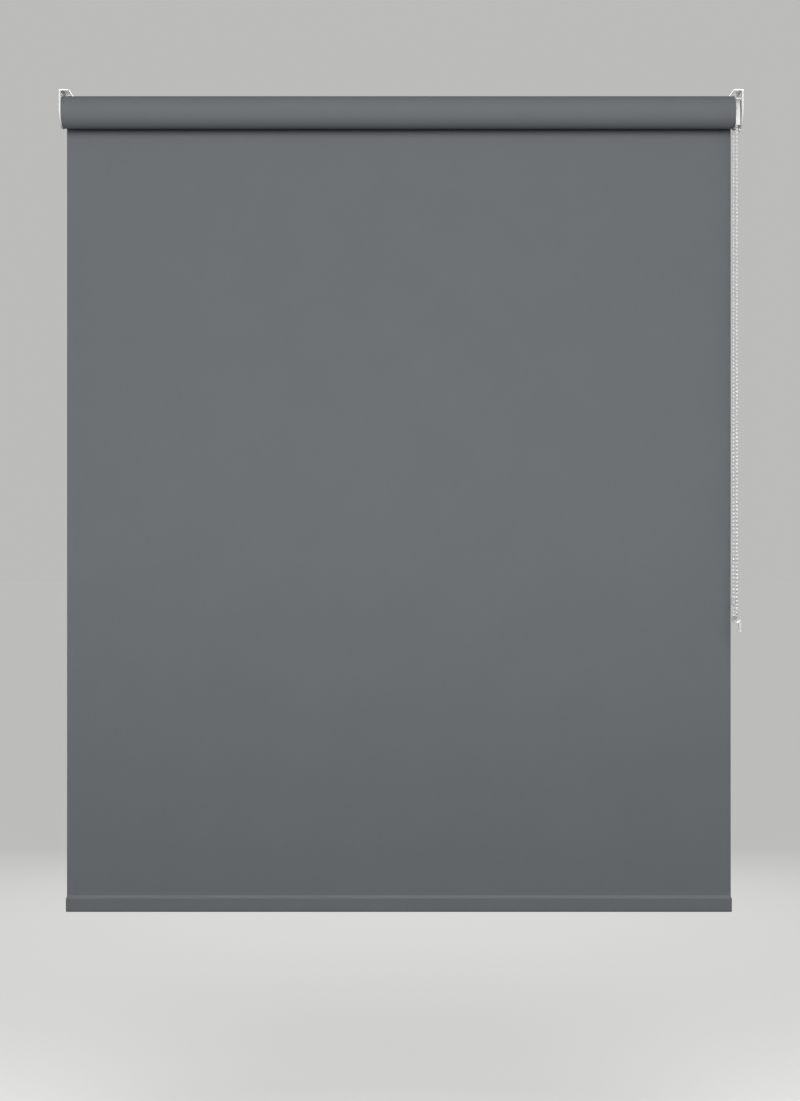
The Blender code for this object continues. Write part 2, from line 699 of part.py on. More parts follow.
# ---------------------------------------------------------------- chain

def bead_centres():
    """Bead centres from the guard's front exit, up over the sprocket, to its back exit."""
    centres = []
    for k in range(GUARDED_PITCHES, 0, -1):
        centres.append(Vector((CHAIN_X, -PITCH_RADIUS, AXIS_Z - k * BEAD_PITCH)))
    for k in range(POCKETS // 2 + 1):
        centres.append(on_axis(CHAIN_X, PITCH_RADIUS, 180 - 360 * k / POCKETS))
    for k in range(1, GUARDED_PITCHES + 1):
        centres.append(Vector((CHAIN_X, PITCH_RADIUS, AXIS_Z - k * BEAD_PITCH)))
    return centres


def chain_over_sprocket():
    """Beads and string as one turned rod along the centres."""
    centres = bead_centres()
    path = []
    radii = []
    for i, centre in enumerate(centres):
        before = (centre - centres[i - 1]).normalized() if i else None
        after = (centres[i + 1] - centre).normalized() if i + 1 < len(centres) else None
        for share in (-0.90, -0.55, 0, 0.55, 0.90):
            along = before if share < 0 else after
            along = along or before or after
            path.append(centre + along * share * BEAD_RADIUS)
            radii.append(max(STRING_RADIUS, BEAD_RADIUS * math.sqrt(1 - share ** 2)))
    sweep("chain_over_sprocket", path, radii, 6, white_plastic())


def loop_point(distance):
    """Place on the hanging loop, by distance along it from the front exit's height."""
    straight = GUARD_EXIT_Z - LOOP_CENTRE_Z
    bend = math.pi * PITCH_RADIUS
    if distance < straight:
        return Vector((CHAIN_X, -PITCH_RADIUS, GUARD_EXIT_Z - distance))
    if distance < straight + bend:
        turn = (distance - straight) / PITCH_RADIUS
        y = -PITCH_RADIUS * math.cos(turn)
        return Vector((CHAIN_X, y, LOOP_CENTRE_Z - PITCH_RADIUS * math.sin(turn)))
    return Vector((CHAIN_X, PITCH_RADIUS, LOOP_CENTRE_Z + distance - straight - bend))


def chain_loop():
    """The hanging part of the chain as one plain cord of the beads' diameter."""
    start = BEAD_RADIUS + GAP
    straight = GUARD_EXIT_Z - LOOP_CENTRE_Z
    bend = math.pi * PITCH_RADIUS
    distances = [start + (straight - start) * i / 30 for i in range(30)]
    distances += [straight + bend * i / 14 for i in range(14)]
    distances += [straight + bend + (straight - start) * i / 30 for i in range(31)]
    curve = bpy.data.curves.new("chain_loop", "CURVE")
    curve.dimensions = "3D"
    curve.bevel_depth = BEAD_RADIUS
    curve.bevel_resolution = 2
    curve.use_fill_caps = True
    spline = curve.splines.new("POLY")
    spline.points.add(len(distances) - 1)
    for point, distance in zip(spline.points, distances):
        point.co = (*loop_point(distance), 1.0)
    curve.materials.append(white_plastic())
    bpy.context.scene.collection.objects.link(bpy.data.objects.new("chain_loop", curve))


def chain_joiner():
    """Two half shells that snap together over the chain's two ends, on the back strand."""
    middle = (CHAIN_X, PITCH_RADIUS, JOINER_Z)
    low, high = JOINER_Z - JOINER_LENGTH / 2, JOINER_Z + JOINER_LENGTH / 2
    for letter, start in (("a", 0), ("b", 180)):
        first, last = start + JOINER_GAP_ANGLE, start + 180 - JOINER_GAP_ANGLE
        outline = arc(CHAIN_X, PITCH_RADIUS, JOINER_RADIUS, first, last, 8)
        outline += arc(CHAIN_X, PITCH_RADIUS, JOINER_BORE, last, first, 8)
        name = f"chain_joiner_half_{letter}"
        prism(name, outline, [], low, high, "Z", clear_plastic(), pivot=middle)


def chain_safety_clip():
    """P-shaped clip screwed to the side wall; the bottom of the chain loop runs through it."""
    centre_x = RIGHT_OUTER_X - CLIP_RING_OUTER
    centre_z = LOOP_CENTRE_Z - PITCH_RADIUS
    tail_z = centre_z - CLIP_TAIL
    tail_x = RIGHT_OUTER_X - CLIP_TAIL_THICKNESS
    outline = [(RIGHT_OUTER_X, tail_z)]
    outline += arc(centre_x, centre_z, CLIP_RING_OUTER, 0, 300, 24)
    outline += [(tail_x, centre_z - CLIP_RING_OUTER - CLIP_NECK), (tail_x, tail_z)]
    hole = circle(centre_x, centre_z, CLIP_RING_INNER, 20)
    half = CLIP_HALF_WIDTH
    surface = clear_plastic()
    clip = prism("chain_safety_clip", outline, [hole], -half, half, "Y", surface)
    screw = (0, centre_z - CLIP_SCREW_DROP)
    low, high = tail_x - OVERCUT, RIGHT_OUTER_X + OVERCUT
    guide = cylinder_tool("clip_screw_guide", CLIP_SCREW_HOLE, low, high, screw, "X", surface)
    combine(clip, "DIFFERENCE", guide)


def build():
    for item in list(bpy.data.objects):
        bpy.data.objects.remove(item, do_unlink=True)
    left_bracket()
    right_bracket()
    tube_and_fabric()
    hem_and_bar()
    idle_end()
    control_spindle()
    chain_sprocket()
    wrap_springs()
    tube_driver()
    chain_guard()
    chain_over_sprocket()
    chain_loop()
    chain_joiner()
    chain_safety_clip()


build()
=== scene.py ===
"""Looks of the chain-operated roller blind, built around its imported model.

Metres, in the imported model's frame: X runs to the right as seen from the room, Y towards the
window, Z up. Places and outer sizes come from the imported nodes' boxes.
"""

import math

import bmesh
import bpy
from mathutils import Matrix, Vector, noise

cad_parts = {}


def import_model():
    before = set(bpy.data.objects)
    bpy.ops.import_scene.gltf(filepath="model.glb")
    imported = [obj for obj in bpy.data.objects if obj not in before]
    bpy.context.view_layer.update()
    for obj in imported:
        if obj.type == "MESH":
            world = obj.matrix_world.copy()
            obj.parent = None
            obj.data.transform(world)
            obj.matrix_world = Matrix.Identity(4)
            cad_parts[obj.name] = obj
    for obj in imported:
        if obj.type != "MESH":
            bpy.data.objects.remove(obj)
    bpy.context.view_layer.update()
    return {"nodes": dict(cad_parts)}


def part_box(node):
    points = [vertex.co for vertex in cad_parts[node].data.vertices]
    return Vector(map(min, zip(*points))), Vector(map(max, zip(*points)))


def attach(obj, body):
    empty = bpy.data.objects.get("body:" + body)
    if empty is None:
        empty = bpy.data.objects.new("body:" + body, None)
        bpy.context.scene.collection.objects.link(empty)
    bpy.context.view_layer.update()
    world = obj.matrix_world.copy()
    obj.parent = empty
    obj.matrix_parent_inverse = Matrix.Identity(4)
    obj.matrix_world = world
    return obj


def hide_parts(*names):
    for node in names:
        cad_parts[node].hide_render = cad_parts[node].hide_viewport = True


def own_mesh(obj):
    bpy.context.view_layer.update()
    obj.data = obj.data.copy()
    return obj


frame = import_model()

# ---------------------------------------------------------------- sizes from the frame

ROLL_LOW, ROLL_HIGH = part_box("fabric_roll")
DROP_LOW, DROP_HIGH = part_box("fabric_drop")
HEM_LOW, HEM_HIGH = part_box("hem_pocket")
BAR_LOW, BAR_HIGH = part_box("bottom_bar")
CHAIN_LOW, CHAIN_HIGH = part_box("chain_loop")
JOINER_LOW, JOINER_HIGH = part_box("chain_joiner_half_a")
CLIP_LOW, CLIP_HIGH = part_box("chain_safety_clip")
GUARD_LOW, GUARD_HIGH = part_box("chain_guard")

HALF_WIDTH = ROLL_HIGH.x
AXIS_Z = (ROLL_LOW.z + ROLL_HIGH.z) / 2
ROLL_RADIUS = ROLL_HIGH.y
DROP_Y = (DROP_LOW.y + DROP_HIGH.y) / 2
DROP_HEIGHT = DROP_HIGH.z - DROP_LOW.z

# Cloth
CLOTH = 0.0004
LAYER = 0.00041
OUTER_LAYER_RADIUS = 0.02521
WOUND_ANGLE = 818
LEAVING_ANGLE = 60
THREAD = 0.00046
HEM_HEIGHT = HEM_HIGH.z - HEM_LOW.z
HEM_CORNER = 0.0032
HEM_SEAM = 0.00045
HEM_WELD = 0.0011
TUCK = 0.0010

# Chain
BEAD_RADIUS = 0.00225
BEAD_PITCH = 0.006
STRING_RADIUS = 0.0006
POCKETS = 16
CHAIN_X = (CHAIN_LOW.x + CHAIN_HIGH.x) / 2
PITCH_RADIUS = BEAD_PITCH / (2 * math.sin(math.pi / POCKETS))
STRAND_PITCHES = 131
GUARDED_PITCHES = 4
LOOP_CENTRE_Z = AXIS_Z - STRAND_PITCHES * BEAD_PITCH
GUARD_EXIT_Z = AXIS_Z - GUARDED_PITCHES * BEAD_PITCH

GAP = 0.0003
OVERCUT = 0.002
STEEL = 0.0015
BAR_WALL = 0.0009
CLUTCH_X = 0.5000
HARD_EDGE, SOFT_EDGE = 35, 60


# ---------------------------------------------------------------- materials

def add(made, kind, inputs=None, **settings):
    """A shader node whose sockets are given as values or as other sockets."""
    item = made.node_tree.nodes.new(kind)
    for name, value in settings.items():
        setattr(item, name, value)
    for name, value in (inputs or {}).items():
        if isinstance(value, bpy.types.NodeSocket):
            made.node_tree.links.new(value, item.inputs[name])
        else:
            item.inputs[name].default_value = value
    return item


def maths(made, operation, *values, clamp=False):
    inputs = dict(enumerate(values))
    return add(made, "ShaderNodeMath", inputs, operation=operation, use_clamp=clamp).outputs[0]


def principled(name, roughness, **sockets):
    """A new material and its shader, with the sockets that are the same all over."""
    made = bpy.data.materials.new(name)
    made.use_nodes = True
    shader = made.node_tree.nodes["Principled BSDF"]
    shader.inputs["Roughness"].default_value = roughness
    for socket, value in sockets.items():
        shader.inputs[socket.replace("_", " ")].default_value = value
    return made, shader


def link(made, source, shader, socket):
    made.node_tree.links.new(source, shader.inputs[socket])


def place(made):
    return add(made, "ShaderNodeTexCoord").outputs["Object"]


def stretched(made, scale, vector=None):
    """The object's own place, or a given one, scaled by its own factor along each axis."""
    vector = place(made) if vector is None else vector
    return add(made, "ShaderNodeMapping", {"Vector": vector, "Scale": scale}).outputs["Vector"]


def grain(made, vector, scale, detail=3.0, roughness=0.55):
    inputs = {"Vector": vector, "Scale": scale, "Detail": detail, "Roughness": roughness}
    return add(made, "ShaderNodeTexNoise", inputs).outputs[0]


def tint(made, colour, amount, share):
    """The colour, darker and lighter by an amount as the share goes from 0 to 1."""
    low = [c * (1 - amount) for c in colour] + [1]
    high = [min(1.0, c * (1 + amount)) for c in colour] + [1]
    inputs = {"Factor": share, 6: low, 7: high}
    return add(made, "ShaderNodeMix", inputs, data_type="RGBA").outputs[2]


def relief(made, shader, height, distance, strength=1.0):
    inputs = {"Height": height, "Distance": distance, "Strength": strength}
    link(made, add(made, "ShaderNodeBump", inputs).outputs[0], shader, "Normal")


def spread(made, value, low, high, low_value=0.0):
    inputs = {"Value": value, "From Min": low_value, "To Min": low, "To Max": high}
    return add(made, "ShaderNodeMapRange", inputs).outputs[0]


def fabric(name, wound):
    """Plain weave of fine yarn. On the roll the weft is counted around the tube's axis."""
    colour = (0.128, 0.139, 0.1465)
    sheen = {"Sheen_Weight": 0.08, "Sheen_Roughness": 0.6}
    made, shader = principled(name, 0.86, Specular_IOR_Level=0.25, **sheen)
    split = add(made, "ShaderNodeSeparateXYZ", {"Vector": place(made)})
    across, deep, up = split.outputs
    if wound:
        rise = maths(made, "SUBTRACT", up, AXIS_Z)
        up = maths(made, "MULTIPLY", maths(made, "ARCTAN2", rise, deep), ROLL_RADIUS)
    along = add(made, "ShaderNodeCombineXYZ", {"X": across, "Y": up}).outputs[0]
    wander = maths(made, "MULTIPLY", grain(made, along, 220, 2.0), 1.6)
    warp = maths(made, "COSINE", maths(made, "MULTIPLY_ADD", across, math.pi / THREAD, wander))
    weft = maths(made, "COSINE", maths(made, "MULTIPLY_ADD", up, math.pi / THREAD, wander))
    over = maths(made, "MULTIPLY", warp, weft)
    yarn = maths(made, "MAXIMUM", maths(made, "ABSOLUTE", warp), maths(made, "ABSOLUTE", weft))
    height = maths(made, "MULTIPLY_ADD", over, 0.35, maths(made, "MULTIPLY", yarn, 0.5))
    slub_across = stretched(made, (40, 1400, 1), along)
    slub_down = stretched(made, (1400, 40, 1), along)
    slubs = maths(made, "ADD", grain(made, slub_across, 1.0, 2.0), grain(made, slub_down, 1.0, 2.0))
    broad = grain(made, along, 9.0, 2.0)
    shade = maths(made, "MULTIPLY_ADD", over, 0.26, maths(made, "MULTIPLY", slubs, 0.38))
    shade = maths(made, "ADD", shade, maths(made, "MULTIPLY", broad, 0.24), clamp=True)
    link(made, tint(made, colour, 0.15, shade), shader, "Base Color")
    link(made, spread(made, slubs, 0.80, 0.92), shader, "Roughness")
    relief(made, shader, maths(made, "MULTIPLY_ADD", slubs, 0.3, height), 0.00007, 0.8)
    return made


def moulded(name, colour, roughness, texture=0.00002, **sockets):
    """Injection-moulded plastic: a fine texture with faint flow marks."""
    made, shader = principled(name, roughness, **sockets)
    fine = grain(made, place(made), 2600, 3.0)
    flow = grain(made, place(made), 45, 3.0)
    link(made, tint(made, colour, 0.035, flow), shader, "Base Color")
    mixed = maths(made, "MULTIPLY_ADD", fine, 0.5, maths(made, "MULTIPLY", flow, 0.5))
    link(made, spread(made, mixed, roughness - 0.08, roughness + 0.08), shader, "Roughness")
    relief(made, shader, fine, texture, 0.6)
    return made


def clear_plastic():
    made, shader = principled("clear_plastic", 0.15, IOR=1.49, Transmission_Weight=0.55)
    flow = grain(made, place(made), 160, 3.0)
    link(made, tint(made, (0.90, 0.92, 0.92), 0.03, flow), shader, "Base Color")
    link(made, spread(made, flow, 0.10, 0.24), shader, "Roughness")
    relief(made, shader, flow, 0.00001, 0.4)
    return made


def aluminium():
    """Mill finish with die lines along the extrusion."""
    made, shader = principled("aluminium", 0.34, Metallic=1.0)
    lines = grain(made, stretched(made, (6, 5200, 5200)), 1.0, 4.0)
    cloud = grain(made, place(made), 60, 3.0)
    link(made, tint(made, (0.74, 0.75, 0.76), 0.06, cloud), shader, "Base Color")
    link(made, spread(made, lines, 0.26, 0.46), shader, "Roughness")
    relief(made, shader, lines, 0.00001, 0.6)
    return made


def bracket_steel():
    """Zinc-plated sheet: rolled, with a faint spangle."""
    made, shader = principled("bracket_steel", 0.40, Metallic=0.75)
    cells = add(made, "ShaderNodeTexVoronoi", {"Vector": place(made), "Scale": 320.0})
    rolled = grain(made, stretched(made, (900, 40, 900)), 1.0, 3.0)
    link(made, tint(made, (0.72, 0.73, 0.73), 0.07, cells.outputs["Color"]), shader, "Base Color")
    link(made, spread(made, rolled, 0.32, 0.50), shader, "Roughness")
    relief(made, shader, rolled, 0.00001, 0.5)
    return made


def spring_steel():
    made, shader = principled("spring_steel", 0.28, Metallic=1.0)
    drawn = grain(made, place(made), 1800, 3.0)
    link(made, tint(made, (0.46, 0.46, 0.47), 0.12, drawn), shader, "Base Color")
    link(made, spread(made, drawn, 0.20, 0.40), shader, "Roughness")
    relief(made, shader, drawn, 0.00001, 0.5)
    return made


def adhesive_tape():
    made, shader = principled("adhesive_tape", 0.6)
    fibre = grain(made, stretched(made, (60, 900, 900)), 1.0, 3.0)
    link(made, tint(made, (0.85, 0.84, 0.78), 0.05, fibre), shader, "Base Color")
    relief(made, shader, fibre, 0.00003, 0.5)
    return made


def bead_plastic():
    depth = {"Subsurface_Weight": 0.15, "Subsurface_Scale": 0.002}
    return moulded("bead_plastic", (0.68, 0.685, 0.68), 0.30, 0.00001, **depth)


MATERIALS = {
    "slate_fabric": fabric("slate_fabric_flat", wound=False),
    "white_plastic": moulded("white_plastic", (0.66, 0.66, 0.65), 0.42),
    "clear_plastic": clear_plastic(),
    "slate_plastic": moulded("slate_plastic", (0.105, 0.112, 0.118), 0.50),
    "grey_plastic": moulded("grey_plastic", (0.30, 0.31, 0.32), 0.46, 0.00003),
    "aluminium": aluminium(),
    "bracket_steel": bracket_steel(),
    "spring_steel": spring_steel(),
    "adhesive_tape": adhesive_tape(),
}
WOUND_FABRIC = fabric("slate_fabric_wound", wound=True)
BEADS = bead_plastic()


# ---------------------------------------------------------------- outlines

def smooth(share):
    share = min(1.0, max(0.0, share))
    return share * share * (3 - 2 * share)


def steps_between(low, high, count):
    return [low + (high - low) * i / count for i in range(count + 1)]


def arc(centre_u, centre_v, radius, start, end, steps):
    """Points of an arc, both ends included, angles in degrees."""
    angles = [math.radians(angle) for angle in steps_between(start, end, steps)]
    return [(centre_u + radius * math.cos(a), centre_v + radius * math.sin(a)) for a in angles]


def circle(centre_u, centre_v, radius, steps=48):
    return arc(centre_u, centre_v, radius, 0, 360, steps)[:-1]


def rounded_rectangle(centre_u, centre_v, width, height, corner, steps=8):
    points = []
    for quarter, (side_u, side_v) in enumerate([(1, 1), (-1, 1), (-1, -1), (1, -1)]):
        u = centre_u + side_u * (width / 2 - corner)
        v = centre_v + side_v * (height / 2 - corner)
        points += arc(u, v, corner, 90 * quarter, 90 * quarter + 90, steps)
    return points


def arch(radius, top):
    """Straight sides from the top, and a half round under the tube's axis."""
    return [(radius, top)] + arc(0, AXIS_Z, radius, 360, 180, 64) + [(-radius, top)]


def hood(radius, bottom):
    """A half round over the tube's axis, with straight sides down."""
    return [(radius, bottom)] + arc(0, AXIS_Z, radius, 0, 180, 48) + [(-radius, bottom)]


def band(inner, outer, start, end, steps):
    """Part of a ring around the tube's axis."""
    return arc(0, AXIS_Z, outer, start, end, steps) + arc(0, AXIS_Z, inner, end, start, steps)


def on_axis(x, radius, angle):
    """A point at a distance from the tube's axis; angle 0 is towards the window, 90 is up."""
    turn = math.radians(angle)
    return Vector((x, radius * math.cos(turn), AXIS_Z + radius * math.sin(turn)))


# ---------------------------------------------------------------- solids

def solid(name, bm):
    """An object of the mesh, with its faces outward."""
    bmesh.ops.remove_doubles(bm, verts=bm.verts, dist=1e-6)
    bmesh.ops.recalc_face_normals(bm, faces=bm.faces)
    mesh = bpy.data.meshes.new(name)
    bm.to_mesh(mesh)
    bm.free()
    made = bpy.data.objects.new(name, mesh)
    bpy.context.scene.collection.objects.link(made)
    return made


def skin(stations, wrap=False):
    """Mesh through equal loops of points, capped at its ends or wrapped round."""
    bm = bmesh.new()
    loops = [[bm.verts.new(point) for point in station] for station in stations]
    count = len(loops[0])
    pairs = list(zip(loops, loops[1:]))
    if wrap:
        pairs.append((loops[-1], loops[0]))
    for first, second in pairs:
        for i in range(count):
            j = (i + 1) % count
            bm.faces.new((first[i], first[j], second[j], second[i]))
    if not wrap:
        bm.faces.new(loops[0][::-1])
        bm.faces.new(loops[-1])
    return bm


def slab(front, back):
    """Closed sheet between two equal grids of points."""
    bm = bmesh.new()
    near = [[bm.verts.new(point) for point in row] for row in front]
    far = [[bm.verts.new(point) for point in row] for row in back]
    rows, columns = len(near), len(near[0])
    for i in range(rows - 1):
        for j in range(columns - 1):
            bm.faces.new((near[i][j], near[i][j + 1], near[i + 1][j + 1], near[i + 1][j]))
            bm.faces.new((far[i][j], far[i + 1][j], far[i + 1][j + 1], far[i][j + 1]))
    for i in (0, rows - 1):
        for j in range(columns - 1):
            bm.faces.new((near[i][j], far[i][j], far[i][j + 1], near[i][j + 1]))
    for j in (0, columns - 1):
        for i in range(rows - 1):
            bm.faces.new((near[i][j], near[i + 1][j], far[i + 1][j], far[i][j]))
    return bm


def turned(name, profile, segments=96):
    """Turn a closed profile of (x, radius) around the tube's axis."""
    angles = [360 * i / segments for i in range(segments)]
    stations = [[on_axis(x, radius, angle) for x, radius in profile] for angle in angles]
    return solid(name, skin(stations, wrap=True))


def turned_about_x(name, profile, y, z, segments=32):
    """Solid cone or rod along X through a point, from (x, radius) pairs."""
    stations = [[(x, u, v) for u, v in circle(y, z, r, segments)] for x, r in profile]
    return solid(name, skin(stations))


def prism(name, outline, holes, low, high, axis="X"):
    """Solid between two parallel planes. The outline is (y, z), (x, z) or (x, y)."""
    places = {
        "X": lambda u, v, w: (w, u, v),
        "Y": lambda u, v, w: (u, w, v),
        "Z": lambda u, v, w: (u, v, w),
    }
    at = places[axis]
    low, high = sorted((low, high))
    bm = bmesh.new()
    edges = []
    for loop in [outline, *holes]:
        verts = [bm.verts.new(at(u, v, low)) for u, v in loop]
        edges += [bm.edges.new((verts[i - 1], verts[i])) for i in range(len(verts))]
    bmesh.ops.triangle_fill(bm, edges=edges, use_beauty=True)
    extruded = bmesh.ops.extrude_face_region(bm, geom=bm.faces[:])
    moved = [item for item in extruded["geom"] if isinstance(item, bmesh.types.BMVert)]
    bmesh.ops.translate(bm, verts=moved, vec=at(0, 0, high - low))
    return solid(name, bm)


def rod(name, path, radii, sides=12):
    """Round rod along a path, with its own radius at each point."""
    stations = []
    side = None
    for i, point in enumerate(path):
        along = (path[min(i + 1, len(path) - 1)] - path[max(i - 1, 0)]).normalized()
        side = side or along.orthogonal()
        side = (side - along * side.dot(along)).normalized()
        up = along.cross(side)
        turns = [2 * math.pi * k / sides for k in range(sides)]
        stations.append([point + radii[i] * (side * math.cos(t) + up * math.sin(t)) for t in turns])
    return solid(name, skin(stations))


def combine(target, operation, *tools):
    """Join tools to the target or cut them out of it; the tools are then gone."""
    for tool in tools:
        step = target.modifiers.new("combine", "BOOLEAN")
        step.operation = operation
        step.object = tool
        step.solver = "EXACT"
    shown = target.evaluated_get(bpy.context.evaluated_depsgraph_get())
    mesh = bpy.data.meshes.new_from_object(shown)
    target.modifiers.clear()
    target.data = mesh
    for tool in tools:
        bpy.data.objects.remove(tool, do_unlink=True)
    return target


def soften(made, width, steps=2, angle=38):
    """Round the sharp edges, as a mould or a press leaves them."""
    bm = bmesh.new()
    bm.from_mesh(made.data)
    bmesh.ops.remove_doubles(bm, verts=bm.verts, dist=1e-6)
    bmesh.ops.dissolve_limit(bm, angle_limit=math.radians(0.5), verts=bm.verts, edges=bm.edges)
    limit = math.radians(angle)
    sharp = [e for e in bm.edges if len(e.link_faces) == 2 and e.calc_face_angle() > limit]
    inputs = {"offset": width, "segments": steps, "profile": 0.5, "affect": "EDGES"}
    bmesh.ops.bevel(bm, geom=sharp, clamp_overlap=True, **inputs)
    bm.to_mesh(made.data)
    bm.free()
    return made


def dress(made, slot, body, *nodes, surface=None, hard=True):
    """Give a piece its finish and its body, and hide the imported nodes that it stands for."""
    made.data.materials.clear()
    made.data.materials.append(surface or MATERIALS[slot])
    made.data.shade_smooth()
    made.data.set_sharp_from_angle(angle=math.radians(HARD_EDGE if hard else SOFT_EDGE))
    if hard:
        made.modifiers.new("flat_faces", "WEIGHTED_NORMAL").keep_sharp = True
    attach(made, body)
    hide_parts(*nodes)
    return made


# ---------------------------------------------------------------- cloth

def unevenness(x, along, seed):
    """A smooth value from about -1 to 1 that says how a cloth strays from flat."""
    return noise.noise(Vector((x * 3.1, along * 2.3, seed)))


def across_width():
    """Places across the cloth, closer together towards its two cut edges."""
    edge = (0, 0.0015, 0.004, 0.009)
    inner = steps_between(-HALF_WIDTH + 0.02, HALF_WIDTH - 0.02, 50)
    return [-HALF_WIDTH + e for e in edge] + inner + [HALF_WIDTH - e for e in reversed(edge)]


def wound_radius(angle):
    """The wound cloth's middle, from the tangent at 0 degrees in to its end on the tape."""
    radius = OUTER_LAYER_RADIUS - LAYER * angle / 360
    leaving = 1 - smooth(angle / LEAVING_ANGLE)
    return radius + (DROP_Y - OUTER_LAYER_RADIUS) * leaving


def wound_cloth():
    angles = steps_between(0, WOUND_ANGLE, round(WOUND_ANGLE / 5))
    front, back = [], []
    for angle in angles:
        outer, inner = [], []
        for x in across_width():
            swell = 0.00006 * unevenness(x * 2, angle / 300, 4.0) * smooth(angle / 90)
            radius = wound_radius(angle) + swell * (angle < 360)
            outer.append(on_axis(x, radius + CLOTH / 2, angle))
            inner.append(on_axis(x, radius - CLOTH / 2, angle))
        front.append(outer)
        back.append(inner)
    made = solid("wound_cloth", slab(front, back))
    dress(made, "slate_fabric", "tube", "fabric_roll", surface=WOUND_FABRIC, hard=False)


def drop_offset(x, z):
    """How far the hanging cloth stands from its plane: nothing at the roll and at the hem."""
    down = (AXIS_Z - z) / DROP_HEIGHT
    held = smooth(down * 6) * smooth((1 - down) * 5)
    broad = 0.00055 * unevenness(x * 0.9, z * 0.8, 1.0)
    narrow = 0.00018 * unevenness(x * 4.0, z * 1.2, 2.0)
    to_edge = HALF_WIDTH - abs(x)
    curl = 0.0009 * (1 - smooth(to_edge / 0.03)) * (0.6 + 0.4 * unevenness(0, z * 3, 3.0))
    return (broad + narrow + curl) * held


def hanging_cloth():
    """The sheet under the roll, tucked into the hem at rest.

    The squash leaves the tuck out, so at full lift the sheet ends 0.43 mm short of the hem.
    """
    length = DROP_HEIGHT + TUCK
    rows = steps_between(AXIS_Z, AXIS_Z - length, 110)
    front, back = [], []
    for z in rows:
        near, far = [], []
        for x in across_width():
            y = DROP_Y + drop_offset(x, z)
            near.append((x, y - CLOTH / 2, z))
            far.append((x, y + CLOTH / 2, z))
        front.append(near)
        back.append(far)
    made = solid("hanging_cloth", slab(front, back))
    dress(made, "slate_fabric", "root", "fabric_drop", hard=False)
    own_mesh(made)


def hem_half(rise):
    """Half the hem's depth at a height over its lowest edge, to the cloth's middle."""
    deep = (HEM_HIGH.y - HEM_LOW.y) / 2 - CLOTH / 2
    shoulder = BAR_HIGH.z - HEM_LOW.z - HEM_WELD
    weld = HEM_HEIGHT - HEM_WELD
    share = min(1.0, max(0.0, (rise - shoulder) / (weld - shoulder)))
    return HEM_SEAM + (deep - HEM_SEAM) * (1 + math.cos(math.pi * share)) / 2


def hem_route():
    """(y, z) down the front, round the bottom and up the back, with the welded band on top."""
    middle = HEM_CORNER - CLOTH / 2
    straight = hem_half(0) - middle
    rises = steps_between(HEM_HEIGHT, HEM_CORNER, 60)
    front = [(-hem_half(rise), rise) for rise in rises]
    round_front = arc(-straight, HEM_CORNER, middle, 180, 270, 8)
    round_back = arc(straight, HEM_CORNER, middle, 270, 360, 8)
    back = [(hem_half(rise), rise) for rise in reversed(rises)]
    route = front + round_front[1:] + round_back[:-1] + back
    return [(DROP_Y + u, HEM_LOW.z + v) for u, v in route]


def hem_cloth():
    route = hem_route()
    front, back = [], []
    for i, (y, z) in enumerate(route):
        before = route[max(i - 1, 0)]
        after = route[min(i + 1, len(route) - 1)]
        along = Vector((0, after[0] - before[0], after[1] - before[1])).normalized()
        out = Vector((0, along.z, -along.y))
        rise = z - HEM_LOW.z
        outer, inner = [], []
        for x in across_width():
            swell = 0.00012 * unevenness(x * 3, z * 20, 6.0) * smooth(rise / 0.006)
            middle = Vector((x, y, z)) + out * (swell * smooth((HEM_HEIGHT - rise) / 0.006))
            outer.append(middle - out * CLOTH / 2)
            inner.append(middle + out * CLOTH / 2)
        front.append(outer)
        back.append(inner)
    made = solid("hem_cloth", slab(front, back))
    dress(made, "slate_fabric", "bottom_bar", "hem_pocket", hard=False)


def bar_end_caps():
    """Dark caps with a rounded face, and a tongue with two slots that fits inside the bar."""
    middle_z = (BAR_LOW.z + BAR_HIGH.z) / 2
    flange = 0.0010
    for side, sign in (("left", -1), ("right", 1)):
        node = f"bar_end_cap_{side}"
        low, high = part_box(node)
        deep, tall = high.y - low.y, high.z - low.z
        outer_x = low.x if sign < 0 else high.x
        face_x = outer_x - sign * flange
        outline = rounded_rectangle(DROP_Y, middle_z, deep, tall, HEM_CORNER)
        cap = soften(prism(node, outline, [], face_x, outer_x), 0.00028, 3)
        tongue_deep = BAR_HIGH.y - BAR_LOW.y - 2 * BAR_WALL - 2 * GAP
        tongue_tall = BAR_HIGH.z - BAR_LOW.z - 2 * BAR_WALL - 2 * GAP
        tip_x = low.x if sign > 0 else high.x
        block = rounded_rectangle(DROP_Y, middle_z, tongue_deep, tongue_tall, 0.0011, 4)
        tongue = prism("tongue", block, [], tip_x, outer_x - sign * 0.0006)
        slots = []
        for rise in (-0.0045, 0.0045):
            slot = rounded_rectangle(DROP_Y, middle_z + rise, tongue_deep * 2, 0.0022, 0.0010, 4)
            slots.append(prism("slot", slot, [], tip_x - sign * 0.001, face_x - sign * 0.002))
        combine(cap, "UNION", soften(combine(tongue, "DIFFERENCE", *slots), 0.00015, 1))
        cap.name = node + "_moulded"
        dress(cap, "slate_plastic", "bottom_bar", node)


# ---------------------------------------------------------------- chain

def bead_rod(name, centres, sides=12):
    """Beads on their string as one closed turned rod."""
    path, radii = [], []
    shares = (-0.965, -0.86, -0.66, -0.36, 0, 0.36, 0.66, 0.86, 0.965)
    for i, centre in enumerate(centres):
        before = (centre - centres[i - 1]).normalized() if i else None
        after = (centres[i + 1] - centre).normalized() if i + 1 < len(centres) else None
        before, after = before or after, after or before
        for share in shares:
            along = before if share < 0 else after
            path.append(centre + along * share * BEAD_RADIUS)
            radii.append(max(STRING_RADIUS, BEAD_RADIUS * math.sqrt(1 - share ** 2)))
    return rod(name, path, radii, sides)


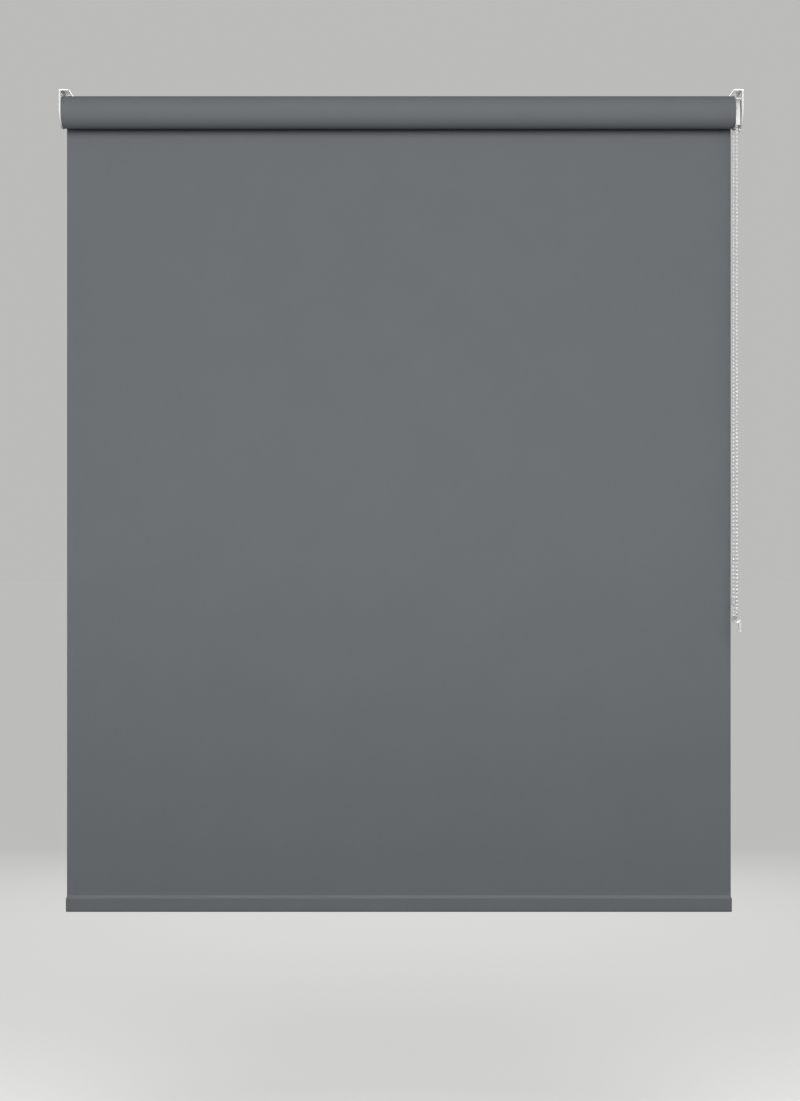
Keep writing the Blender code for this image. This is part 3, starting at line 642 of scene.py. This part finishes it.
def strand(y, first, last):
    step = 1 if last >= first else -1
    return [Vector((CHAIN_X, y, AXIS_Z - k * BEAD_PITCH)) for k in range(first, last + step, step)]


def loop_centres():
    """Bead centres of the hanging loop, down the room side, round, and up the window side."""
    centres = strand(-PITCH_RADIUS, GUARDED_PITCHES + 1, STRAND_PITCHES)
    for k in range(1, POCKETS // 2):
        turn = math.radians(360 / POCKETS * k)
        y = -PITCH_RADIUS * math.cos(turn)
        centres.append(Vector((CHAIN_X, y, LOOP_CENTRE_Z - PITCH_RADIUS * math.sin(turn))))
    return centres + strand(PITCH_RADIUS, STRAND_PITCHES, GUARDED_PITCHES + 1)


def loop_path():
    """The cord's own line, from the guard's front exit to its back one."""
    start = GUARD_EXIT_Z - BEAD_RADIUS - GAP
    path = [Vector((CHAIN_X, -PITCH_RADIUS, z)) for z in steps_between(start, LOOP_CENTRE_Z, 60)]
    for turn in steps_between(0, math.pi, 24)[1:-1]:
        y = -PITCH_RADIUS * math.cos(turn)
        path.append(Vector((CHAIN_X, y, LOOP_CENTRE_Z - PITCH_RADIUS * math.sin(turn))))
    path += [Vector((CHAIN_X, PITCH_RADIUS, z)) for z in steps_between(LOOP_CENTRE_Z, start, 60)]
    return path


def half_shell(name, start):
    """Half of the chain joiner: a snap shell with rounded ends and a narrow waist."""
    middle_y = PITCH_RADIUS
    middle_z = (JOINER_LOW.z + JOINER_HIGH.z) / 2
    half = (JOINER_HIGH.z - JOINER_LOW.z) / 2
    outer, bore, edge, waist, catch = 0.0036, 0.0026, 0.0009, 0.0004, 0.0002
    profile = [(bore, half), (outer - edge, half)]
    profile += [(r, z) for r, z in arc(outer - edge, half - edge, edge, 90, 0, 5)]
    for turn in (1.3, 0.8, 0, -0.8, -1.3):
        profile.append((outer - waist * math.cos(turn), half * 0.45 * math.sin(turn)))
    profile += [(r, z) for r, z in arc(outer - edge, edge - half, edge, 0, -90, 5)]
    profile += [(bore, -half), (bore, -half * 0.6), (bore - catch, -half * 0.5)]
    profile += [(bore - catch, half * 0.5), (bore, half * 0.6)]
    stations = []
    for angle in steps_between(start + 4, start + 176, 24):
        turn = math.radians(angle)
        across = Vector((math.cos(turn), math.sin(turn), 0))
        base = Vector((CHAIN_X, middle_y, middle_z))
        stations.append([base + across * r + Vector((0, 0, z)) for r, z in profile])
    return soften(solid(name, skin(stations)), 0.0001, 1, 60)


def chain():
    rising = strand(-PITCH_RADIUS, GUARDED_PITCHES, 1)
    angles = [180 - 360 * k / POCKETS for k in range(POCKETS // 2 + 1)]
    over = [on_axis(CHAIN_X, PITCH_RADIUS, angle) for angle in angles]
    falling = strand(PITCH_RADIUS, 1, GUARDED_PITCHES)
    seated = bead_rod("beads_on_sprocket", rising + over + falling, 16)
    dress(seated, "white_plastic", "root", "chain_over_sprocket", surface=BEADS, hard=False)
    for letter, start in (("a", 0), ("b", 180)):
        node = f"chain_joiner_half_{letter}"
        dress(half_shell(f"joiner_shell_{letter}", start), "clear_plastic", "chain_joiner", node)
    path = loop_path()
    loop = bead_rod("bead_chain", loop_centres())
    dress(loop, "white_plastic", "root", "chain_loop", surface=BEADS, hard=False)


def safety_clip():
    """P-clip on the side wall: a ring, and a tail with a countersunk hole."""
    wall_x = CLIP_HIGH.x
    ring_outer, ring_inner = 0.0071, 0.0056
    centre_x, centre_z = wall_x - ring_outer, LOOP_CENTRE_Z - PITCH_RADIUS
    tail_x = wall_x - 0.0038
    corner, neck, screw, head = 0.0008, 0.0016, 0.0021, 0.0042
    outline = [(wall_x, CLIP_LOW.z + corner), (wall_x, centre_z)]
    outline += arc(centre_x, centre_z, ring_outer, 0, 288, 56)[1:]
    outline += arc(tail_x - neck, centre_z - ring_outer - 0.0012, neck, 80, 0, 6)
    outline += [(tail_x, CLIP_LOW.z + corner), (tail_x + corner, CLIP_LOW.z)]
    outline += [(wall_x - 0.0006, CLIP_LOW.z)]
    half = CLIP_HIGH.y
    clip = prism("safety_clip", outline, [circle(centre_x, centre_z, ring_inner)], -half, half, "Y")
    screw_z = centre_z - 0.0150
    hole = circle(0, screw_z, screw, 32)
    shank = prism("shank", hole, [], tail_x - OVERCUT, wall_x + OVERCUT)
    sunk = turned_about_x("sunk", [(tail_x - 0.001, head), (tail_x + 0.0016, screw)], 0, screw_z)
    combine(clip, "DIFFERENCE", shank, sunk)
    soften(clip, 0.00025, 2)
    dress(clip, "clear_plastic", "root", "chain_safety_clip")


# ---------------------------------------------------------------- brackets

def bent_sheet(name, side_x, sign):
    """Steel strip from the flange's free edge, round the bend, and down the plate."""
    bend, flange, radius = 0.0016, 0.0155, 0.0250
    screw, top_spread, side_spread, side_screw_z = 0.00225, 0.014, 0.016, -0.0115
    inside_x = side_x - sign * STEEL
    route = [(side_x - sign * (flange - d), 0.0, 0.0) for d in (0, 0.0005, 0.0011, 0.0020, 0.0060)]
    route += [(side_x - sign * bend, 0.0, 0.0)]
    for angle in steps_between(90, 0, 6)[1:]:
        turn = math.radians(angle)
        x = side_x - sign * bend * (1 - math.cos(turn))
        route.append((x, -bend * (1 - math.sin(turn)), 90 - angle))
    heights = steps_between(-bend - 0.002, AXIS_Z, 8)
    route += [(side_x, z, 90.0) for z in heights]
    route += [(side_x, AXIS_Z - radius * math.sin(math.radians(a)), 90.0) for a in range(4, 89, 4)]
    front, back = [], []
    for i, (x, z, tilt) in enumerate(route):
        half = radius
        if z < AXIS_Z:
            half = math.sqrt(max(radius ** 2 - (AXIS_Z - z) ** 2, 0.0))
        if i < 4:
            inset = (0.0020, 0.0009, 0.0003, 0.0)[i]
            half = radius - inset
        turn = math.radians(tilt)
        inward = Vector((-sign * math.sin(turn), 0, -math.cos(turn))) * STEEL
        across = steps_between(-1, 1, 16)
        front.append([Vector((x, half * a, z)) for a in across])
        back.append([Vector((x, half * a, z)) + inward for a in across])
    made = solid(name, slab(front, back))
    screw_x = side_x - sign * (flange / 2 + 0.0010)
    cutters = []
    for y in (-top_spread, top_spread):
        hole = circle(screw_x, y, screw, 32)
        cutters.append(prism("hole", hole, [], -2 * OVERCUT, OVERCUT, "Z"))
    for y in (-side_spread, side_spread):
        hole = circle(y, side_screw_z, screw, 32)
        start, end = inside_x - sign * OVERCUT, side_x + sign * OVERCUT
        cutters.append(prism("hole", hole, [], start, end))
    return made, cutters


def bracket_plates():
    """Plates with a round hole for the bush on the left, and a square one for the lug."""
    bush_hole, lug_hole = 0.0084, 0.0126
    for side, sign in (("left", -1), ("right", 1)):
        node = f"{side}_bracket_plate"
        low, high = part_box(node)
        side_x = low.x if sign < 0 else high.x
        made, cutters = bent_sheet(f"{side}_bracket", side_x, sign)
        if sign < 0:
            centre = circle(0, AXIS_Z, bush_hole, 64)
        else:
            centre = rounded_rectangle(0, AXIS_Z, lug_hole, lug_hole, 0.0006, 3)
        start, end = side_x - sign * 2 * OVERCUT, side_x + sign * OVERCUT
        cutters.append(prism("hole", centre, [], start, end))
        combine(made, "DIFFERENCE", *cutters)
        soften(made, 0.00015, 2, 50)
        dress(made, "bracket_steel", "root", node)


def bracket_covers():
    """Moulded caps: a flat face with a round hole, and a wall round the edge."""
    for side, sign, hole in (("left", -1, 0.0109), ("right", 1, 0.0098)):
        node = f"{side}_bracket_cover"
        low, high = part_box(node)
        inner_x, rim_x = (high.x, low.x) if sign < 0 else (low.x, high.x)
        radius, cavity, thick = 0.0263, 0.0253, 0.0011
        top = high.z
        cover = prism(f"{side}_cover", arch(radius, top), [], inner_x, rim_x)
        soften(cover, 0.0005, 3)
        floor_x = inner_x + sign * thick
        room = arch(cavity, top + 2 * OVERCUT)
        pocket = prism("pocket", room, [], floor_x, rim_x + sign * OVERCUT)
        start, end = inner_x - sign * OVERCUT, floor_x + sign * OVERCUT
        centre = prism("hole", circle(0, AXIS_Z, hole, 64), [], start, end)
        combine(cover, "DIFFERENCE", pocket, centre)
        dress(cover, "white_plastic", "root", node)


def fillet_profile(points, radius, steps=3):
    """The closed profile with each corner cut round."""
    out = []
    count = len(points)
    for i in range(count):
        before, here, after = (Vector(points[(i + k) % count]) for k in (-1, 0, 1))
        to_before, to_after = before - here, after - here
        reach = min(radius, to_before.length * 0.4, to_after.length * 0.4)
        first = here + to_before.normalized() * reach
        last = here + to_after.normalized() * reach
        for share in steps_between(0, 1, steps):
            a = first.lerp(here, share)
            b = here.lerp(last, share)
            out.append(tuple(a.lerp(b, share)))
    return out


def left_bush():
    low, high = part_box("left_pin_bush")
    flange, bore, radius, flange_radius = 0.0009, 0.0043, 0.0080, 0.0105
    profile = [
        (high.x, bore + 0.0004), (high.x, flange_radius), (high.x - flange, flange_radius),
        (high.x - flange, radius), (low.x, radius), (low.x, bore),
        (high.x - 0.0005, bore),
    ]
    made = turned("pin_bush", fillet_profile(profile, 0.0002), 64)
    dress(made, "grey_plastic", "root", "left_pin_bush")


def lock_tab():
    """Sliding lock with a bent foot and three grip ridges."""
    low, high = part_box("bracket_lock")
    back_x = low.x + 0.0008
    foot_z = low.z + 0.0025
    outline = [(low.x, high.z), (low.x, low.z), (high.x, low.z)]
    for k in range(3):
        z = low.z + 0.0003 + 0.0007 * k
        outline += [(high.x - 0.00025, z + 0.00015), (high.x, z + 0.0004)]
    outline += [(high.x, foot_z), (back_x, foot_z), (back_x, high.z)]
    made = soften(prism("lock_tab", outline, [], low.y, high.y, "Y"), 0.00012, 2)
    dress(made, "white_plastic", "bracket_lock", "bracket_lock")


# ---------------------------------------------------------------- drive end

def control_spindle():
    low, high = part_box("control_spindle")
    mandrel, groove, shoulder, flange = 0.0064, 0.0052, 0.0090, 0.0130
    bore, lug_side, ear = 0.0020, 0.0120, 0.0008
    groove_x, groove_end, shoulder_x, flange_x = 0.4906, 0.4922, 0.5280, 0.5378
    flange_end = flange_x + 0.0008
    profile = [
        (low.x, bore), (low.x, mandrel), (groove_x, mandrel), (groove_x, groove),
        (groove_end, groove), (groove_end, mandrel), (shoulder_x, mandrel), (shoulder_x, shoulder),
        (flange_x, shoulder), (flange_x, flange), (flange_end, flange), (flange_end, bore),
    ]
    made = turned("spindle", fillet_profile(profile, 0.0002), 64)
    lug = rounded_rectangle(0, AXIS_Z, lug_side, lug_side, 0.0008, 4)
    block = prism("lug", lug, [circle(0, AXIS_Z, bore, 32)], flange_end - 0.0004, high.x)
    combine(made, "UNION", soften(block, 0.0002, 2))
    dress(made, "grey_plastic", "root", "control_spindle")
    ring = band(groove + GAP, 0.0100, 120, 420, 60)
    ears = [circle(*arc(0, AXIS_Z, 0.0084, angle, angle, 1)[0], ear, 20) for angle in (129, 411)]
    clip = prism("retaining_clip", ring, ears, groove_x + GAP, groove_end - GAP)
    dress(soften(clip, 0.0001, 1), "spring_steel", "root", "spindle_clip")


def groove_radius(offset, angle):
    """Radius of the sprocket's groove, with one round pocket for each bead."""
    floor, pocket = 0.0141, 0.0027
    step = 360 / POCKETS
    turn = math.radians((angle + step / 2) % step - step / 2)
    across = PITCH_RADIUS * math.sin(turn)
    depth = pocket ** 2 - offset ** 2 - across ** 2
    if depth <= 0:
        return floor
    return min(floor, PITCH_RADIUS * math.cos(turn) - math.sqrt(depth))


def chain_sprocket():
    groove, flange, radius, bore = 0.00275, 0.00075, 0.0186, 0.0093
    inner_x, outer_x = CHAIN_X - groove - flange, CHAIN_X + groove + flange
    offsets = steps_between(-groove, groove, 10)
    edge = 0.0002
    stations = []
    count = POCKETS * 12
    for i in range(count):
        angle = 360 * i / count
        profile = [(inner_x, bore), (inner_x, radius - edge), (inner_x + edge, radius)]
        profile += [(CHAIN_X - groove - edge, radius), (CHAIN_X - groove, radius - edge)]
        profile += [(CHAIN_X + offset, groove_radius(offset, angle)) for offset in offsets]
        profile += [(CHAIN_X + groove, radius - edge), (CHAIN_X + groove + edge, radius)]
        profile += [(outer_x - edge, radius), (outer_x, radius - edge), (outer_x, bore)]
        stations.append([on_axis(x, r, angle) for x, r in profile])
    wheel = solid("sprocket_wheel", skin(stations, wrap=True))
    wall = band(0.0094, 0.0108, 127.5, 412.5, 60)
    sleeve = prism("sleeve", wall, [], CLUTCH_X, inner_x + flange / 2)
    combine(wheel, "UNION", soften(sleeve, 0.00015, 1))
    dress(wheel, "white_plastic", "sprocket", "chain_sprocket")


def helix(start_x, end_x, radius, start_angle, end_angle, per_turn=40):
    steps = round(abs(end_angle - start_angle) / 360 * per_turn)
    places = steps_between(start_x, end_x, steps)
    angles = steps_between(start_angle, end_angle, steps)
    return [on_axis(x, radius, angle) for x, angle in zip(places, angles)]


def springs():
    """Two wrap springs with their tangs, and the idle pin's push spring."""
    turns, pitch, wire = 5, 0.0015, 0.00045
    coil, elbow, tang = 0.0075, 0.0086, 0.0102
    for letter, start_x in zip("ab", (0.5030, 0.5150)):
        end_x = start_x + turns * pitch
        path = [on_axis(start_x, tang, 68), on_axis(start_x, elbow, 69)]
        path += helix(start_x, end_x, coil, 74, 106 + 360 * turns)
        path += [on_axis(end_x, elbow, 111), on_axis(end_x, tang, 112)]
        made = rod(f"clutch_spring_{letter}", path, [wire] * len(path), 10)
        dress(made, "spring_steel", "tube", f"wrap_spring_{letter}", hard=False)
    low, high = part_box("idle_pin_spring")
    wire = 0.0004
    path = helix(low.x + wire, high.x - wire, 0.0041, 0, 360 * 6)
    made = rod("pin_push_spring", path, [wire] * len(path), 10)
    dress(made, "spring_steel", "tube", "idle_pin_spring", hard=False)
    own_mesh(made)


def tube_driver():
    """Driver: a cup with windows in its web, a sleeve, and the key between the tangs."""
    low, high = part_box("tube_driver")
    radius, bore = high.y, 0.0200
    web_x, sleeve_end = low.x + 0.0024, high.x - 0.0008
    web_bore, sleeve_outer, sleeve_inner = 0.0069, 0.0129, 0.0113
    profile = [
        (low.x, web_bore), (low.x, radius - 0.0012), (low.x + 0.0018, radius), (high.x, radius),
        (high.x, bore), (web_x, bore), (web_x, sleeve_outer), (sleeve_end, sleeve_outer),
        (sleeve_end, sleeve_inner), (web_x, sleeve_inner), (web_x, web_bore),
    ]
    made = turned("driver", fillet_profile(profile, 0.0002), 96)
    inside_wall = 0.0121
    outline = band(0.0089, inside_wall, 79, 101, 8)
    key = prism("key", outline, [], CLUTCH_X, sleeve_end - 0.001)
    windows = []
    for k in range(6):
        centre = 60 * k + 30
        window = band(0.0146, 0.0186, centre - 17, centre + 17, 12)
        windows.append(prism("window", window, [], low.x - 0.001, web_x + 0.0003))
    combine(made, "DIFFERENCE", *windows)
    combine(made, "UNION", soften(key, 0.00015, 1))
    dress(made, "grey_plastic", "tube", "tube_driver")


def chain_guard():
    """Shell over the sprocket with its stripper block and two chain exits."""
    outer, inner, bore = 0.0205, 0.0193, 0.0094
    wall_x = 0.5365
    bottom = GUARD_LOW.z
    made = prism("guard", hood(outer, bottom), [], GUARD_LOW.x, GUARD_HIGH.x)
    soften(made, 0.0004, 3)
    room = hood(inner, bottom - OVERCUT)
    pocket = prism("pocket", room, [], GUARD_LOW.x - OVERCUT, wall_x)
    centre = circle(0, AXIS_Z, bore, 64)
    hole = prism("hole", centre, [], wall_x - OVERCUT, GUARD_HIGH.x + OVERCUT)
    combine(made, "DIFFERENCE", pocket, hole)
    half, top, stripper_x = 0.0115, AXIS_Z - 0.0202, 0.5306
    outline = [(-half, bottom), (half, bottom), (half, top), (-half, top)]
    block = prism("block", outline, [], stripper_x, wall_x + 0.0005)
    combine(made, "UNION", soften(block, 0.0003, 2))
    dress(made, "white_plastic", "root", "chain_guard")


# ---------------------------------------------------------------- idle end and tube

def idle_end():
    """Plug with six webs, the sprung pin in it, and the cap behind the pin's spring."""
    low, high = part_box("idle_plug")
    flange_radius, radius, wall = 0.0232, 0.0217, 0.0018
    step_x, floor_x = -HALF_WIDTH - GAP, -HALF_WIDTH + 0.0007
    sleeve_end, sleeve_outer, sleeve_bore, hole = high.x - 0.0010, 0.0076, 0.0056, 0.0044
    profile = [
        (low.x, hole), (low.x, flange_radius), (step_x, flange_radius), (step_x, radius),
        (high.x - 0.0018, radius), (high.x, radius - 0.0010), (high.x, radius - wall),
        (floor_x, radius - wall), (floor_x, sleeve_outer), (sleeve_end, sleeve_outer),
        (sleeve_end, sleeve_bore), (floor_x, sleeve_bore), (floor_x, hole),
    ]
    plug = turned("end_plug", fillet_profile(profile, 0.00018), 96)
    webs = []
    near, far, half = sleeve_outer - 0.0003, radius - wall + 0.0003, 0.0005
    for k in range(6):
        angle = math.radians(60 * k)
        along = Vector((math.cos(angle), math.sin(angle)))
        side = Vector((-along.y, along.x))
        corners = [along * near - side * half, along * far - side * half]
        corners += [along * far + side * half, along * near + side * half]
        outline = [(c.x, AXIS_Z + c.y) for c in corners]
        webs.append(prism("web", outline, [], floor_x - 0.0002, high.x - 0.0100))
    combine(plug, "UNION", *webs)
    dress(plug, "grey_plastic", "tube", "idle_plug")
    low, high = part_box("idle_pin")
    barrel_x, radius, barrel, nose, edge = floor_x + GAP, 0.0040, 0.0052, 0.0012, 0.0003
    profile = [(low.x, 0.0)] + arc(low.x + nose, radius - nose, nose, 180, 90, 5)
    profile += [(barrel_x, radius), (barrel_x, barrel - edge), (barrel_x + edge, barrel)]
    profile += [(high.x - edge, barrel), (high.x, barrel - edge), (high.x, 0.0)]
    dress(turned("sprung_pin", profile, 64), "white_plastic", "idle_pin", "idle_pin")
    low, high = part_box("idle_spring_cap")
    flange_x = high.x - 0.0012
    profile = [
        (low.x, 0.0), (low.x, barrel - edge), (low.x + edge, barrel), (flange_x, barrel),
        (flange_x, sleeve_outer), (high.x - 0.0002, sleeve_outer), (high.x, sleeve_outer - 0.0002),
        (high.x, 0.0),
    ]
    dress(turned("spring_cap", profile, 64), "grey_plastic", "tube", "idle_spring_cap")


def roller_tube():
    """Extruded tube with two shallow grooves along its outside."""
    low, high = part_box("roller_tube")
    radius, bore, edge = high.y, 0.0222, 0.0001
    deep, breadth = 0.0005, 2.2
    stations = []
    for angle in steps_between(0, 360, 180)[:-1]:
        groove = max(deep * math.exp(-((angle - centre) / breadth) ** 2) for centre in (45, 225))
        rim = radius - groove
        profile = [(low.x, bore), (low.x, rim - edge), (low.x + edge, rim)]
        profile += [(high.x - edge, rim), (high.x, rim - edge), (high.x, bore)]
        stations.append([on_axis(x, r, angle) for x, r in profile])
    made = solid("extruded_tube", skin(stations, wrap=True))
    dress(made, "aluminium", "tube", "roller_tube")


def kept_nodes():
    """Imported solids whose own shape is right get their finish."""
    for node, slot in (("bottom_bar", "aluminium"), ("fabric_tape", "adhesive_tape")):
        kept = frame["nodes"][node]
        kept.data.materials.clear()
        kept.data.materials.append(MATERIALS[slot])


# ---------------------------------------------------------------- camera, light and floor

def camera():
    data = bpy.data.cameras.new("camera")
    data.lens = 64.0
    data.sensor_width = 36
    made = bpy.data.objects.new("camera", data)
    made.location = (0.0018, -3.1, -0.7246)
    made.rotation_euler = (math.radians(90), 0, 0)
    bpy.context.scene.collection.objects.link(made)
    bpy.context.scene.camera = made


def softbox(name, location, target, size, power, spread=math.pi):
    data = bpy.data.lights.new(name, "AREA")
    data.shape = "RECTANGLE"
    data.size, data.size_y = size
    data.energy = power
    data.spread = spread
    made = bpy.data.objects.new(name, data)
    made.location = location
    aim = Vector(target) - Vector(location)
    made.rotation_euler = aim.to_track_quat("-Z", "Y").to_euler()
    made.visible_camera = False
    bpy.context.scene.collection.objects.link(made)


def world():
    """Pale room: bright round the horizon, dimmer overhead and towards the ground."""
    made = bpy.data.worlds.new("room")
    made.use_nodes = True
    direction = add(made, "ShaderNodeTexCoord").outputs["Generated"]
    rise = add(made, "ShaderNodeSeparateXYZ", {"Vector": direction}).outputs["Z"]
    ramp = add(made, "ShaderNodeValToRGB", {0: spread(made, rise, 0.0, 1.0, low_value=-1.0)})
    stops = ramp.color_ramp.elements
    levels = [(0.40, 0.20), (0.49, 0.50), (0.65, 0.50), (0.80, 0.10)]
    for i, (position, level) in enumerate(levels):
        stop = stops[i] if i < len(stops) else stops.new(position)
        stop.position = position
        stop.color = (level, level, level * 0.99, 1)
    made.node_tree.links.new(ramp.outputs[0], made.node_tree.nodes["Background"].inputs["Color"])
    bpy.context.scene.world = made


def floor():
    """Plain pale floor well under the blind, which throws no light up at it."""
    outline = circle(0, 0, 60, 96)
    made = prism("floor", outline, [], -1.75, -1.70, "Z")
    glow = {"Emission_Color": (1.0, 1.0, 0.99, 1), "Emission_Strength": 0.41}
    surface, shader = principled("floor", 0.9, Specular_IOR_Level=0.1, **glow)
    cloud = grain(surface, place(surface), 1.5, 2.0)
    link(surface, tint(surface, (0.45, 0.45, 0.44), 0.01, cloud), shader, "Base Color")
    made.data.materials.append(surface)
    made.visible_diffuse = False


def lights():
    """Broad keys in front, two narrow boxes for the hem's shoulder, and one behind."""
    hem = (0, DROP_Y, (HEM_LOW.z + HEM_HIGH.z) / 2)
    softbox("front_key", (0, -2.4, 0.05), (0, 0, -0.25), (2.8, 0.8), 23)
    softbox("near_key", (0, -1.2, 0.10), (0, 0, -0.10), (3.0, 0.5), 15)
    softbox("high_hem", (0, -0.9, 0.60), hem, (2.6, 0.3), 2.3, spread=0.8)
    softbox("low_hem", (0, -0.5, 0.00), hem, (2.6, 0.3), 0.6, spread=0.8)
    softbox("back", (0, 2.8, 0.2), (0, 0, -0.6), (2.4, 1.6), 36)


# ---------------------------------------------------------------- build

camera()
chain()
hem_cloth()
wound_cloth()
hanging_cloth()
bar_end_caps()
safety_clip()
bracket_plates()
bracket_covers()
left_bush()
lock_tab()
control_spindle()
chain_sprocket()
springs()
tube_driver()
chain_guard()
idle_end()
roller_tube()
kept_nodes()
world()
floor()
lights()
bpy.context.scene.view_settings.view_transform = "Standard"
